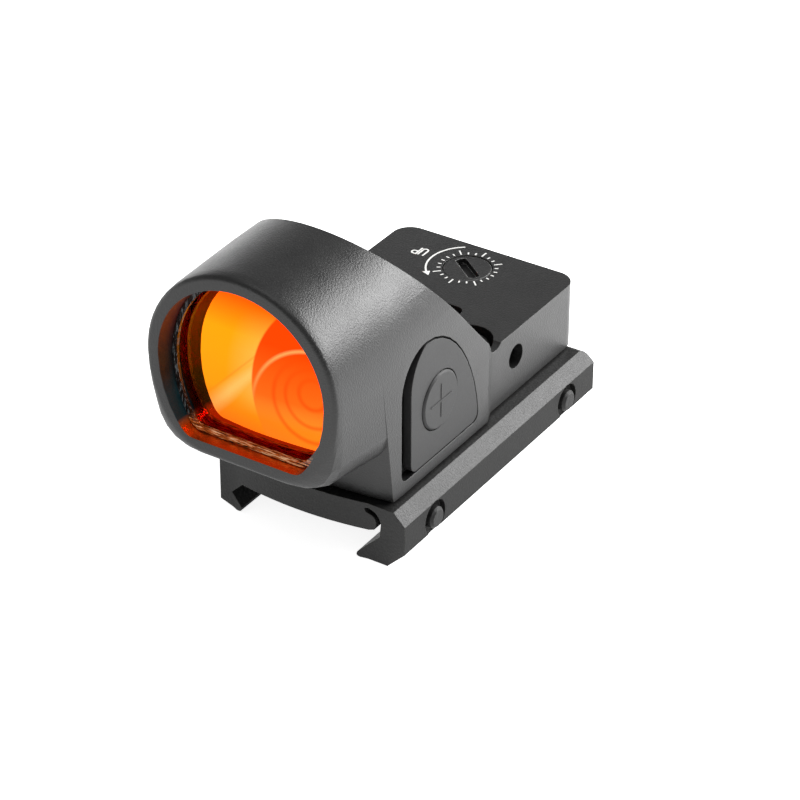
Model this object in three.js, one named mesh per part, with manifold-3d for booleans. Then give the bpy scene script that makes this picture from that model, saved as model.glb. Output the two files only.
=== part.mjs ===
// Open reflex red dot finder on a clamp for a 20 mm cross-slot rail.
// Millimetres, +Z up. The lens faces -Y, the adjustment deck is at +Y, and the origin is
// the centre of the rail seat: X = 0 is the optical axis, Z = 0 the face that meets the rail.

import * as THREE from 'three';
import { mergeVertices } from 'three/addons/utils/BufferGeometryUtils.js';
import Module from 'manifold-3d';

const wasm = await Module();
wasm.setup();

// ---------------------------------------------------------------- driving dimensions

const GAP = 0.3;
const CLEAR = 0.1;
const RUNNING = 0.08;
const FAR = 60;

// housing block
const BASE_Z = 4.3;
const DECK_Z = 13.9;
const DECK_HALF = 14.0;
const DECK_REAR_Y = 24.9;
const DECK_CORNER = 2.8;
const FLANK_HALF = 14.9;
const FLANK_TAPER_Y = 0.2;
const FLANK_REAR_Y = 2.4;
const FRONT_WALL_Y = -22.2;
const FRONT_WALL_BULGE = 1.2;
const FRONT_WALL_RAKE = 0.12;

// hood
const HOOD_Z = 23.2;
const HOOD_FRONT_Y = -34.0;
const HOOD_FRONT_HALF = 14.25;
const HOOD_FLARE_END_Y = -20.0;
const HOOD_EDGE = 0.6;
const HOOD_FRONT_SECTION = { rise: 14.25, lower: 15.8, flat: 12.7, corner: 3.6 };
const HOOD_REAR_SECTION = { rise: 14.5, lower: 30.0, flat: 12.7, corner: 5.0 };
const HOOD_BLEND = 1.6;
const HOOD_FLAT_SIDE = { y: -23.6, lower: 100.0 };
const WINDOW = { half: 12.4, rise: 12.4, lower: 14.6, flat: 10.7, corner: 1.0 };
const RIM_TOP = { y: -18.6, z: 38.3 };
const RIM_MIDDLE = { y: -9.2, z: 26.2 };
const RIM_SCOOP = { y: 3.4, z: DECK_Z + 1.2, r: 1.8 };
const TUNNEL_HALF = 12.5;
const TUNNEL_FLOOR_Z = 11.6;
const TUNNEL_CORNER = 1.2;
const TUNNEL_FRONT_Y = -21.0;
const TUNNEL_REAR_Y = 1.2;

// lens, leaning back at the top
const LENS_Y = -30.5;
const LENS_TILT = THREE.MathUtils.degToRad(6.2);
const LENS_THICK = 2.6;
const LENS_REAR_HOLLOW = 0.9;
const LENS_RADIUS = 104;
const LEDGE_INSET = 1.0;
const LEDGE_THICK = 1.2;
const BOND_WIDTH = 0.65;
const BOND_THICK = 0.5;
const BOND_INSET = 0.12;

// battery and its cap
const BATTERY_Y = -11.2;
const BATTERY_R = 10.0;
const BATTERY_THICK = 3.2;
const BATTERY_Z = 6.2;
const WELL_FLOOR_Z = 5.2;
const CAP_R = 11.1;
const CAP_THICK = 2.0;
const CAP_TOP_Z = 11.55;
const CAP_WELL_GAP = 0.25;
const COIN_SLOT = { length: 13, width: 1.9, depth: 1.1 };

// keypads
const PAD = { front: -20.2, rear: -2.5, bottom: 6.35, top: 23.9, crownY: -14.8 };
const PAD_FACE_X = 14.95;
const PAD_BACK_X = 13.75;
const PAD_RECESS_X = 13.5;
const PAD_FRONT_GAP = 2.1;
const BUTTON_Y = -11.75;
const BUTTON_Z = 14.15;
const BUTTON_R = 4.05;
const BUTTON_FACE_X = 15.2;
const BUTTON_BACK_X = 14.0;
const DOME_R = 2.9;
const DOME_BASE_X = 13.15;
const DOME_RISE = 0.35;

// emitter recess and window
const RECESS_HALF = 5.6;
const RECESS_REAR_Y = 9.5;
const RECESS_FLOOR_Z = 9.9;
const EMITTER_Z = 11.9;

// adjusters
const ELEVATION_Y = 19.0;
const ELEVATION_R = 3.35;
const ELEVATION_HEAD = 1.65;
const WINDAGE_Y = 15.4;
const WINDAGE_Z = 7.6;
const WINDAGE_R = 2.9;
const WINDAGE_HEAD = 1.9;
const ADJUSTER_SLOT = { length: 5.0, width: 1.6, depth: 0.9 };
const ADJUSTER_SLOT_ANGLE = THREE.MathUtils.degToRad(-37);
const SHAFT_R = 0.9;

// emitter carriage
const NUT = { half: 2.2, y0: 16.9, y1: 20.9, low: 9.9, high: 10.8 };
const TONGUE = { half: 1.7, y0: 13.1, low: 10.1, high: 10.7 };
const SLIDER = { half: 2.8, y0: 14.1, y1: 16.7, low: 6.3, high: 8.9 };
const SLIDER_ARM = { half: 2.5, y0: 11.2, high: 7.3 };
const POST = { x: 1.5, y: 12.1, r: 0.4, top: 11.7, bore: 12.3 };
const BLOCK = { half: 2.3, y0: 11.45, y1: 12.75, low: 8.6, high: 12.5 };
const FORK = { y1: 14.0, tine: 0.4, low: 9.6, high: 11.2 };
const LED = { half: 0.6, y0: 10.95, y1: 11.35, tall: 1.0 };
const SPRING = { radius: 1.5, wire: 0.2, foot: 6.3, turns: 4 };

// fasteners
const DECK_SCREW = { x: 9.7, y: 3.4, pocket: 3.4, head: 2.95, shank: 1.75, floor: 11.1 };
const SIDE_HOLE = { y: 8.66, z: 9.8, r: 1.75 };
const BOSS = { x: 9.5, y: -20.0, r: 1.5 };

// rail clamp
const MOUNT_TOP_Z = BASE_Z - GAP;
const MOUNT_HALF_LENGTH = 23.8;
const MOUNT_BULGE = 1.1;
const REAR_CORNER = 1.3;
const RAIL_X = 1.4;
const RAIL_HALF = 10.6;
const JAW_X = -11.1;
const JAW_APEX_Z = -2.0;
const JAW_LOW_Z = -4.5;
const BAR_X = 17.5;
const BOLT_Y = 16.6;
const BOLT_Z = -0.1;
const BOLT_R = 1.5;
const BOLT_TIP_X = 18.0;
const BOLT_HEAD_R = 2.7;
const BOLT_HEAD_THICK = 1.9;
const BOLT_POCKET = { r: 2.4, depth: 0.9 };
const WASHER = { r: 3.1, thick: 0.4 };

// ---------------------------------------------------------------- solids and placing

const group = new THREE.Group();

function toSolid(geometry) {
  const bare = new THREE.BufferGeometry();
  bare.setAttribute('position', geometry.getAttribute('position').clone());
  if (geometry.index) bare.setIndex(geometry.index.clone());
  const merged = mergeVertices(bare, 1e-4);
  const mesh = new wasm.Mesh({
    numProp: 3,
    vertProperties: new Float32Array(merged.getAttribute('position').array),
    triVerts: new Uint32Array(merged.index.array),
  });
  return new wasm.Manifold(mesh);
}

function toGeometry(solid) {
  const mesh = solid.getMesh();
  const geometry = new THREE.BufferGeometry();
  geometry.setAttribute('position', new THREE.BufferAttribute(mesh.vertProperties, 3));
  geometry.setIndex(new THREE.BufferAttribute(mesh.triVerts, 1));
  geometry.computeVertexNormals();
  return geometry;
}

function add(name, solid, material) {
  const mesh = new THREE.Mesh(toGeometry(solid), material);
  mesh.name = name;
  group.add(mesh);
}

function box(x0, x1, y0, y1, z0, z1) {
  const geometry = new THREE.BoxGeometry(x1 - x0, y1 - y0, z1 - z0);
  geometry.translate((x0 + x1) / 2, (y0 + y1) / 2, (z0 + z1) / 2);
  return toSolid(geometry);
}

// An outline drawn in (X, Y) and raised along Z.
function prismZ(shape, z0, z1, curveSegments = 12) {
  const geometry = new THREE.ExtrudeGeometry(shape, {
    depth: z1 - z0, bevelEnabled: false, curveSegments,
  });
  geometry.translate(0, 0, z0);
  return toSolid(geometry);
}

// An outline drawn in (X, Z) and run along Y.
function prismY(shape, y0, y1, curveSegments = 12) {
  const geometry = new THREE.ExtrudeGeometry(shape, {
    depth: y1 - y0, bevelEnabled: false, curveSegments,
  });
  geometry.rotateX(Math.PI / 2);
  geometry.translate(0, y1, 0);
  return toSolid(geometry);
}

// An outline drawn in (Y, Z) and run along X.
function prismX(shape, x0, x1, curveSegments = 12) {
  const geometry = new THREE.ExtrudeGeometry(shape, {
    depth: x1 - x0, bevelEnabled: false, curveSegments,
  });
  const turn = new THREE.Matrix4().makeBasis(
    new THREE.Vector3(0, 1, 0),
    new THREE.Vector3(0, 0, 1),
    new THREE.Vector3(1, 0, 0),
  );
  geometry.applyMatrix4(turn);
  geometry.translate(x0, 0, 0);
  return toSolid(geometry);
}

// Lathe profile of [radius, height] points turned about an axis through (a, b).
function turned(profile, axis, a, b, segments = 40) {
  const points = profile.map(([radius, height]) => new THREE.Vector2(radius, height));
  const geometry = new THREE.LatheGeometry(points, segments);
  if (axis === 'z') {
    geometry.rotateX(Math.PI / 2);
    geometry.translate(a, b, 0);
  } else {
    geometry.rotateZ(-Math.PI / 2);
    geometry.translate(0, a, b);
  }
  return toSolid(geometry);
}

function discProfile(radius, from, to, edge = 0) {
  const profile = [[0, from], [radius, from]];
  if (edge > 0) {
    profile.push([radius, to - edge], [radius - edge, to]);
  } else {
    profile.push([radius, to]);
  }
  profile.push([0, to]);
  return profile;
}

function discZ(x, y, radius, z0, z1, segments = 32, edge = 0) {
  return turned(discProfile(radius, z0, z1, edge), 'z', x, y, segments);
}

function discX(y, z, radius, x0, x1, segments = 32, edge = 0) {
  return turned(discProfile(radius, x0, x1, edge), 'x', y, z, segments);
}

function torus(axis, a, b, height, major, minor, segments) {
  const profile = [];
  const steps = 7;
  for (let i = 0; i <= steps; i += 1) {
    const angle = (i % steps) * 2 * Math.PI / steps;
    profile.push([major + minor * Math.cos(angle), height + minor * Math.sin(angle)]);
  }
  return turned(profile, axis, a, b, segments);
}

// A coil spring about a vertical axis, its wire ends left square.
function coilZ(x, y, radius, wire, z0, z1, turns) {
  class Helix extends THREE.Curve {
    getPoint(t, target = new THREE.Vector3()) {
      const angle = t * turns * 2 * Math.PI;
      return target.set(
        x + radius * Math.cos(angle),
        y + radius * Math.sin(angle),
        z0 + wire + t * (z1 - z0 - 2 * wire),
      );
    }
  }
  const section = new THREE.Shape();
  section.absarc(0, 0, wire, 0, 2 * Math.PI);
  return toSolid(new THREE.ExtrudeGeometry(section, {
    steps: turns * 11, bevelEnabled: false, curveSegments: 3, extrudePath: new Helix(),
  }));
}

const mirrored = (solid, side) => (side > 0 ? solid : solid.mirror([1, 0, 0]));

// ---------------------------------------------------------------- hood sections

// Half ellipse over a deeper half ellipse that is cut off flat, with round lower corners,
// as points about the hood's centre line.
function hoodOutline({ half, rise, lower, flat, corner }, inset = 0) {
  const halfWidth = half - inset;
  const height = rise - inset;
  const depth = lower - inset;
  const floor = flat - inset;
  const sideX = (z) => halfWidth * Math.sqrt(1 - (z / depth) ** 2);
  const cornerStart = new THREE.Vector2(sideX(floor) - corner, -floor);
  const cornerTip = new THREE.Vector2(sideX(floor), -floor);
  const cornerTopZ = 0.85 * corner - floor;
  const cornerEnd = new THREE.Vector2(sideX(cornerTopZ), cornerTopZ);
  const right = new THREE.QuadraticBezierCurve(cornerStart, cornerTip, cornerEnd).getPoints(4);
  const sideSteps = 6;
  for (let i = 1; i <= sideSteps; i += 1) {
    const z = cornerTopZ * Math.cos((i / sideSteps) * Math.PI / 2);
    right.push(new THREE.Vector2(sideX(z), z));
  }
  const archSteps = 16;
  for (let i = 1; i < archSteps; i += 1) {
    const angle = (i / archSteps) * Math.PI / 2;
    right.push(new THREE.Vector2(halfWidth * Math.cos(angle), height * Math.sin(angle)));
  }
  const left = right.map((point) => new THREE.Vector2(-point.x, point.y)).reverse();
  return [...right, new THREE.Vector2(0, height), ...left];
}

function hoodShape(outline) {
  return new THREE.Shape(outline.map((point) => new THREE.Vector2(point.x, point.y + HOOD_Z)));
}

// Skin over a row of matching outlines, each at its own Y, closed by flat ends.
function loft(stations) {
  const count = stations[0].outline.length;
  const positions = [];
  for (const { y, outline } of stations) {
    for (const point of outline) positions.push(point.x, y, point.y + HOOD_Z);
  }
  const index = [];
  for (let row = 0; row < stations.length - 1; row += 1) {
    for (let i = 0; i < count; i += 1) {
      const a = row * count + i;
      const b = row * count + (i + 1) % count;
      index.push(a, b + count, b, a, a + count, b + count);
    }
  }
  const last = (stations.length - 1) * count;
  for (let i = 1; i < count - 1; i += 1) {
    index.push(0, i, i + 1);
    index.push(last, last + i + 1, last + i);
  }
  const geometry = new THREE.BufferGeometry();
  geometry.setAttribute('position', new THREE.Float32BufferAttribute(positions, 3));
  geometry.setIndex(index);
  return toSolid(geometry);
}

// Half width along the hood and flanks: flared from the front, drawn in to the deck behind.
function hoodHalfWidth(y) {
  if (y > FLANK_TAPER_Y) {
    return THREE.MathUtils.mapLinear(y, FLANK_TAPER_Y, FLANK_REAR_Y, FLANK_HALF, DECK_HALF);
  }
  const along = (y - HOOD_FRONT_Y) / (HOOD_FLARE_END_Y - HOOD_FRONT_Y);
  return THREE.MathUtils.lerp(HOOD_FRONT_HALF, FLANK_HALF, Math.min(along, 1));
}

// The hood's section at y: rounder lower corners at the front face, squarer ones behind it,
// and sides that flatten on the way to the flanks.
function hoodSection(y) {
  const blend = Math.min((y - HOOD_FRONT_Y) / HOOD_BLEND, 1);
  const section = { half: hoodHalfWidth(y) };
  for (const key of Object.keys(HOOD_FRONT_SECTION)) {
    section[key] = THREE.MathUtils.lerp(HOOD_FRONT_SECTION[key], HOOD_REAR_SECTION[key], blend);
  }
  const along = (y - HOOD_FRONT_Y - HOOD_BLEND) / (HOOD_FLAT_SIDE.y - HOOD_FRONT_Y - HOOD_BLEND);
  const flatten = THREE.MathUtils.clamp(along, 0, 1);
  section.lower = THREE.MathUtils.lerp(section.lower, HOOD_FLAT_SIDE.lower, flatten);
  return section;
}

function hoodTube() {
  const stations = [];
  const edgeSteps = 3;
  for (let i = 0; i <= edgeSteps; i += 1) {
    const angle = (i / edgeSteps) * Math.PI / 2;
    stations.push({
      y: HOOD_FRONT_Y + HOOD_EDGE * (1 - Math.cos(angle)),
      inset: HOOD_EDGE * (1 - Math.sin(angle)),
    });
  }
  const behind = [HOOD_FRONT_Y + HOOD_BLEND, HOOD_FLAT_SIDE.y, HOOD_FLARE_END_Y,
    FLANK_TAPER_Y, FLANK_REAR_Y];
  for (const y of behind) stations.push({ y, inset: 0 });
  return loft(stations.map(({ y, inset }) => ({ y, outline: hoodOutline(hoodSection(y), inset) })));
}

// Flanks that carry the keypads: straight down from the hood's widest line to the base,
// behind a bowed front wall that leans forward.
function flanks() {
  const outline = (y) => {
    const half = hoodHalfWidth(y);
    return [[-half, BASE_Z], [half, BASE_Z], [half, HOOD_Z], [-half, HOOD_Z]]
      .map(([x, z]) => new THREE.Vector2(x, z - HOOD_Z));
  };
  const front = FRONT_WALL_Y - FRONT_WALL_BULGE - FRONT_WALL_RAKE * HOOD_Z;
  const rows = [front, HOOD_FLARE_END_Y, FLANK_TAPER_Y, FLANK_REAR_Y];
  const body = loft(rows.map((y) => ({ y, outline: outline(y) })));
  const plan = new THREE.Shape();
  plan.moveTo(-FAR, FAR);
  plan.lineTo(-FAR, FRONT_WALL_Y);
  plan.lineTo(-FLANK_HALF, FRONT_WALL_Y);
  plan.quadraticCurveTo(0, FRONT_WALL_Y - 2 * FRONT_WALL_BULGE, FLANK_HALF, FRONT_WALL_Y);
  plan.lineTo(FAR, FRONT_WALL_Y);
  plan.lineTo(FAR, FAR);
  const wall = new THREE.ExtrudeGeometry(plan, { depth: FAR, bevelEnabled: false });
  wall.applyMatrix4(new THREE.Matrix4().makeShear(0, 0, 0, 0, 0, -FRONT_WALL_RAKE));
  wall.translate(0, 0, BASE_Z - GAP);
  return body.intersect(toSolid(wall));
}

function deckBlock() {
  const plan = new THREE.Shape();
  plan.moveTo(-DECK_HALF, -10);
  plan.lineTo(DECK_HALF, -10);
  plan.lineTo(DECK_HALF, DECK_REAR_Y - DECK_CORNER);
  plan.absarc(DECK_HALF - DECK_CORNER, DECK_REAR_Y - DECK_CORNER, DECK_CORNER, 0, Math.PI / 2);
  plan.lineTo(DECK_CORNER - DECK_HALF, DECK_REAR_Y);
  plan.absarc(DECK_CORNER - DECK_HALF, DECK_REAR_Y - DECK_CORNER, DECK_CORNER,
    Math.PI / 2, Math.PI);
  return prismZ(plan, BASE_Z, DECK_Z);
}

// Everything above the deck and behind the hollowed, sloping rear rim of the hood.
function rimCut() {
  const side = new THREE.Shape();
  side.moveTo(RIM_TOP.y, RIM_TOP.z);
  side.quadraticCurveTo(RIM_MIDDLE.y, RIM_MIDDLE.z, FLANK_REAR_Y, DECK_Z);
  side.lineTo(FAR, DECK_Z);
  side.lineTo(FAR, RIM_TOP.z);
  return prismX(side, -FAR, FAR, 12);
}

// A slab square to the lens axis, from one depth to another behind the lens's front.
function lensSlab(from, to) {
  const geometry = new THREE.BoxGeometry(FAR, to - from, 2 * FAR);
  geometry.translate(0, (from + to) / 2, 0);
  geometry.rotateX(-LENS_TILT);
  geometry.translate(0, LENS_Y, HOOD_Z);
  return toSolid(geometry);
}

function sightTunnel() {
  const ledgeFront = LENS_THICK + GAP;
  const ledgeRear = ledgeFront + LEDGE_THICK;
  const window = hoodOutline(WINDOW);
  const bore = prismY(hoodShape(window), HOOD_FRONT_Y - 1, 0)
    .intersect(lensSlab(-FAR / 2, ledgeFront));
  const ledge = prismY(hoodShape(hoodOutline(WINDOW, LEDGE_INSET)), LENS_Y - 1, 0)
    .intersect(lensSlab(0, FAR));
  const throat = prismY(hoodShape(window), LENS_Y, TUNNEL_FRONT_Y + 1)
    .intersect(lensSlab(ledgeRear, FAR));
  const cornerX = TUNNEL_HALF - TUNNEL_CORNER;
  const cornerZ = TUNNEL_FLOOR_Z + TUNNEL_CORNER;
  const arch = new THREE.Shape();
  arch.moveTo(-cornerX, TUNNEL_FLOOR_Z);
  arch.lineTo(cornerX, TUNNEL_FLOOR_Z);
  arch.quadraticCurveTo(TUNNEL_HALF, TUNNEL_FLOOR_Z, TUNNEL_HALF, cornerZ);
  arch.absarc(0, HOOD_Z, TUNNEL_HALF, 0, Math.PI);
  arch.lineTo(-TUNNEL_HALF, cornerZ);
  arch.quadraticCurveTo(-TUNNEL_HALF, TUNNEL_FLOOR_Z, -cornerX, TUNNEL_FLOOR_Z);
  const low = prismY(arch, TUNNEL_FRONT_Y, TUNNEL_REAR_Y, 16);
  const high = prismY(arch, TUNNEL_FRONT_Y, FAR, 16)
    .intersect(box(-FAR, FAR, -FAR, FAR, DECK_Z, FAR));
  return bore.add(ledge).add(throat).add(low).add(high);
}

function batteryWell() {
  return discZ(0, BATTERY_Y, CAP_R + CAP_WELL_GAP, CAP_TOP_Z - CAP_THICK - CLEAR, TUNNEL_FLOOR_Z + 1, 52)
    .add(discZ(0, BATTERY_Y, BATTERY_R + GAP, WELL_FLOOR_Z, CAP_TOP_Z, 36));
}

// Pad outline in (Y, Z): upright front edge, high crown, rear edge falling with the rim.
function padOutline(grow, frontShift) {
  const front = PAD.front + frontShift - grow;
  const rear = PAD.rear + grow;
  const bottom = PAD.bottom - grow;
  const top = PAD.top + grow;
  const corner = 1.5;
  const shape = new THREE.Shape();
  shape.moveTo(front + corner, bottom);
  shape.lineTo(rear - corner, bottom);
  shape.quadraticCurveTo(rear, bottom, rear, bottom + corner);
  shape.bezierCurveTo(rear - 0.8, bottom + 9.3, rear - 6, top, PAD.crownY, top);
  shape.bezierCurveTo(front + 2.6, top, front, top - 2.4, front, top - 6);
  shape.lineTo(front, bottom + corner);
  shape.quadraticCurveTo(front, bottom, front + corner, bottom);
  return shape;
}

function keypadRecess(side) {
  const recess = prismX(padOutline(GAP, 0), PAD_RECESS_X, FAR, 10);
  const domePocket = discX(BUTTON_Y, BUTTON_Z, DOME_R + GAP, DOME_BASE_X - 0.1, FAR, 32);
  return mirrored(recess.add(domePocket), side);
}

function roundedPlan(x0, x1, y0, y1, radius) {
  const shape = new THREE.Shape();
  shape.moveTo(x0, y0);
  shape.lineTo(x1, y0);
  shape.lineTo(x1, y1 - radius);
  shape.quadraticCurveTo(x1, y1, x1 - radius, y1);
  shape.lineTo(x0 + radius, y1);
  shape.quadraticCurveTo(x0, y1, x0, y1 - radius);
  return shape;
}

// ---------------------------------------------------------------- materials

function material(color, roughness, metalness) {
  return new THREE.MeshStandardMaterial({ color, roughness, metalness });
}

const anodised = material(0x1b1c1d, 0.5, 0.6);
const anodisedMount = material(0x1e1f20, 0.55, 0.6);
const rubber = material(0x222426, 0.8, 0);
const glass = material(0xff7a14, 0.05, 0);
const steel = material(0x4a4b4d, 0.4, 0.9);
const bright = material(0xb9bbbd, 0.25, 1);
const oRing = material(0x101010, 0.7, 0);
const boardGreen = material(0x154a2c, 0.5, 0);
const gold = material(0xc9a24a, 0.3, 1);
const bead = material(0x14100e, 0.3, 0);

// ---------------------------------------------------------------- housing

const CAVITY = { half: 4.6, y0: 10.7, y1: 21.9, low: 5.3, high: 13.3, rearHigh: 11.5 };
const BOARD = { half: 10.9, y0: 8.7, y1: 21.9, z: 5.55, thick: 0.5 };
const PLATE = { half: 12.0, y0: 7.8, y1: 22.9, thick: 0.8 };
const SHAFT_BORE_R = SHAFT_R + 0.12;
const WINDAGE_FACE_X = -DECK_HALF + 0.1;
const ELEVATION_FACE_Z = DECK_Z - 0.05;

function adjusterCuts() {
  const elevationFloor = ELEVATION_FACE_Z - ELEVATION_HEAD - CLEAR;
  const windageFloor = WINDAGE_FACE_X + WINDAGE_HEAD + CLEAR;
  return discZ(0, ELEVATION_Y, ELEVATION_R + CLEAR, elevationFloor, FAR)
    .add(discZ(0, ELEVATION_Y, SHAFT_BORE_R, CAVITY.low, DECK_Z, 24))
    .add(discX(WINDAGE_Y, WINDAGE_Z, WINDAGE_R + CLEAR, -FAR, windageFloor))
    .add(discX(WINDAGE_Y, WINDAGE_Z, SHAFT_BORE_R, -FAR, 0, 24));
}

function emitterCuts() {
  const plan = roundedPlan(-RECESS_HALF, RECESS_HALF, TUNNEL_REAR_Y - 1, RECESS_REAR_Y, 1.4);
  const seat = box(-2.8, 2.8, RECESS_REAR_Y - 1, RECESS_REAR_Y + 0.75, 10.3, 13.3);
  const port = box(-2.0, 2.0, RECESS_REAR_Y, CAVITY.y0 + 1, 10.9, 12.9);
  return prismZ(plan, RECESS_FLOOR_Z, FAR).add(seat).add(port);
}

function cavityCuts() {
  const front = box(-CAVITY.half, CAVITY.half, CAVITY.y0, 14.3, CAVITY.low, CAVITY.high);
  const rear = box(-CAVITY.half, CAVITY.half, 14, CAVITY.y1, CAVITY.low, CAVITY.rearHigh);
  const board = box(-BOARD.half - GAP, BOARD.half + GAP, BOARD.y0 - GAP, BOARD.y1 + GAP,
    BASE_Z + PLATE.thick, 7.3);
  const plate = box(-PLATE.half - GAP / 2, PLATE.half + GAP / 2, PLATE.y0 - GAP / 2,
    PLATE.y1 + GAP / 2, 0, BASE_Z + PLATE.thick + 0.15);
  return front.add(rear).add(board).add(plate);
}

function deckScrewCuts(side) {
  const { x, y, pocket, shank, floor } = DECK_SCREW;
  return discZ(side * x, y, pocket, floor, DECK_Z + 6)
    .add(discZ(side * x, y, shank + 0.2, 0, floor + 1, 28));
}

function housing() {
  let solid = hoodTube().add(flanks()).subtract(rimCut()).add(deckBlock());
  solid = solid.subtract(discX(RIM_SCOOP.y, RIM_SCOOP.z, RIM_SCOOP.r, -FAR, FAR));
  solid = solid.subtract(sightTunnel()).subtract(batteryWell());
  for (const side of [1, -1]) {
    solid = solid.subtract(keypadRecess(side)).subtract(deckScrewCuts(side));
    solid = solid.subtract(discZ(side * BOSS.x, BOSS.y, BOSS.r + GAP, 0, BASE_Z + 1.8, 24));
  }
  solid = solid.subtract(adjusterCuts()).subtract(emitterCuts()).subtract(cavityCuts());
  return solid.subtract(discX(SIDE_HOLE.y, SIDE_HOLE.z, SIDE_HOLE.r, 8.2, FAR, 32));
}

add('housing', housing(), anodised);

// ---------------------------------------------------------------- lens and its bond

// Meniscus blank turned about the lens axis, hollow side towards the emitter.
function lensBlank() {
  const reach = 17;
  const steps = 4;
  const front = [];
  const rear = [];
  for (let i = 0; i <= steps; i += 1) {
    const radius = (i / steps) * reach;
    const sag = LENS_RADIUS - Math.sqrt(LENS_RADIUS ** 2 - radius ** 2);
    front.push(new THREE.Vector2(radius, sag));
    rear.push(new THREE.Vector2(radius, sag + LENS_THICK - LENS_REAR_HOLLOW));
  }
  const geometry = new THREE.LatheGeometry([...front, ...rear.reverse()], 36);
  geometry.rotateX(-LENS_TILT);
  geometry.translate(0, LENS_Y, HOOD_Z);
  return toSolid(geometry);
}

const lensShape = hoodShape(hoodOutline(WINDOW, GAP));
add('lens', lensBlank().intersect(prismY(lensShape, -FAR, 0)), glass);

const bondOuter = prismY(hoodShape(hoodOutline(WINDOW, BOND_INSET)), -FAR, 0);
const bondInner = prismY(hoodShape(hoodOutline(WINDOW, BOND_INSET + BOND_WIDTH)), -FAR, 0);
add('lens_bond_bead', bondOuter.subtract(bondInner)
  .intersect(lensSlab(-BOND_THICK - CLEAR, -CLEAR)), bead);

// ---------------------------------------------------------------- battery group

function batteryCap() {
  const bottom = CAP_TOP_Z - CAP_THICK;
  const profile = [
    [0, bottom], [CAP_R - 0.3, bottom], [CAP_R - 0.3, bottom + 0.35],
    [CAP_R - 0.95, bottom + 0.35], [CAP_R - 0.95, bottom + 1.15],
    [CAP_R, bottom + 1.15], [CAP_R, CAP_TOP_Z - 0.25], [CAP_R - 0.25, CAP_TOP_Z],
    [CAP_R - 2.6, CAP_TOP_Z], [CAP_R - 2.9, CAP_TOP_Z - 0.35],
    [CAP_R - 3.6, CAP_TOP_Z - 0.35], [CAP_R - 3.9, CAP_TOP_Z], [0, CAP_TOP_Z],
  ];
  const { length, width, depth } = COIN_SLOT;
  const slot = box(-length / 2, length / 2, BATTERY_Y - width / 2, BATTERY_Y + width / 2,
    CAP_TOP_Z - depth, CAP_TOP_Z + 1);
  return turned(profile, 'z', 0, BATTERY_Y, 52).subtract(slot);
}

add('battery_cap', batteryCap(), anodised);
add('battery_cap_o_ring',
  torus('z', 0, BATTERY_Y, CAP_TOP_Z - CAP_THICK + 0.75, CAP_R - 0.36, 0.34, 32), oRing);

const batteryTop = BATTERY_Z + BATTERY_THICK;
add('battery', turned([
  [0, BATTERY_Z], [BATTERY_R - 1.6, BATTERY_Z], [BATTERY_R - 1.4, BATTERY_Z + 0.35],
  [BATTERY_R - 0.3, BATTERY_Z + 0.5], [BATTERY_R, BATTERY_Z + 0.9],
  [BATTERY_R, batteryTop - 0.2], [BATTERY_R - 0.2, batteryTop], [0, batteryTop],
], 'z', 0, BATTERY_Y, 32), bright);

const lowContact = new THREE.Shape();
lowContact.moveTo(-16, WELL_FLOOR_Z + 0.08);
lowContact.lineTo(-6, WELL_FLOOR_Z + 0.08);
lowContact.lineTo(-6, WELL_FLOOR_Z + 0.28);
lowContact.quadraticCurveTo(-9, WELL_FLOOR_Z + 1.25, -13, WELL_FLOOR_Z + 0.8);
lowContact.quadraticCurveTo(-9.5, WELL_FLOOR_Z + 0.85, -8, WELL_FLOOR_Z + 0.3);
lowContact.lineTo(-16, WELL_FLOOR_Z + 0.28);
add('battery_contact_low', prismX(lowContact, -1.6, 1.6, 6), gold);

// ---------------------------------------------------------------- keypads

for (const [side, sign] of [[1, 'plus'], [-1, 'minus']]) {
  const pad = prismX(padOutline(0, PAD_FRONT_GAP - GAP), PAD_BACK_X, PAD_FACE_X, 10)
    .subtract(discX(BUTTON_Y, BUTTON_Z, BUTTON_R + 0.15, 0, FAR));
  add(`keypad_${sign}`, mirrored(pad, side), rubber);

  const button = discX(BUTTON_Y, BUTTON_Z, BUTTON_R, BUTTON_BACK_X, BUTTON_FACE_X, 40, 0.25);
  add(`button_${sign}`, mirrored(button, side), rubber);

  const rise = DOME_BASE_X + DOME_RISE;
  const dome = turned([
    [0, rise - 0.15], [DOME_R * 0.5, rise - 0.2], [DOME_R - 0.2, DOME_BASE_X],
    [DOME_R, DOME_BASE_X], [DOME_R, DOME_BASE_X + 0.12], [DOME_R * 0.55, rise - 0.03],
    [0, rise],
  ], 'x', BUTTON_Y, BUTTON_Z, 16);
  add(`snap_dome_${sign}`, mirrored(dome, side), bright);
}

// ---------------------------------------------------------------- emitter and adjusters

function driverSlot(length, width) {
  const end = length / 2;
  const tip = end + 0.35 * width;
  const slot = new THREE.Shape();
  slot.moveTo(-end, -width / 2);
  slot.lineTo(end, -width / 2);
  slot.quadraticCurveTo(tip, 0, end, width / 2);
  slot.lineTo(-end, width / 2);
  slot.quadraticCurveTo(-tip, 0, -end, -width / 2);
  return slot;
}

function adjusterSlot(faceHeight) {
  const { length, width, depth } = ADJUSTER_SLOT;
  const geometry = new THREE.ExtrudeGeometry(driverSlot(length, width), {
    depth: depth + 1, bevelEnabled: false, curveSegments: 4,
  });
  geometry.rotateZ(ADJUSTER_SLOT_ANGLE);
  geometry.translate(0, 0, faceHeight - depth);
  return geometry;
}

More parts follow.
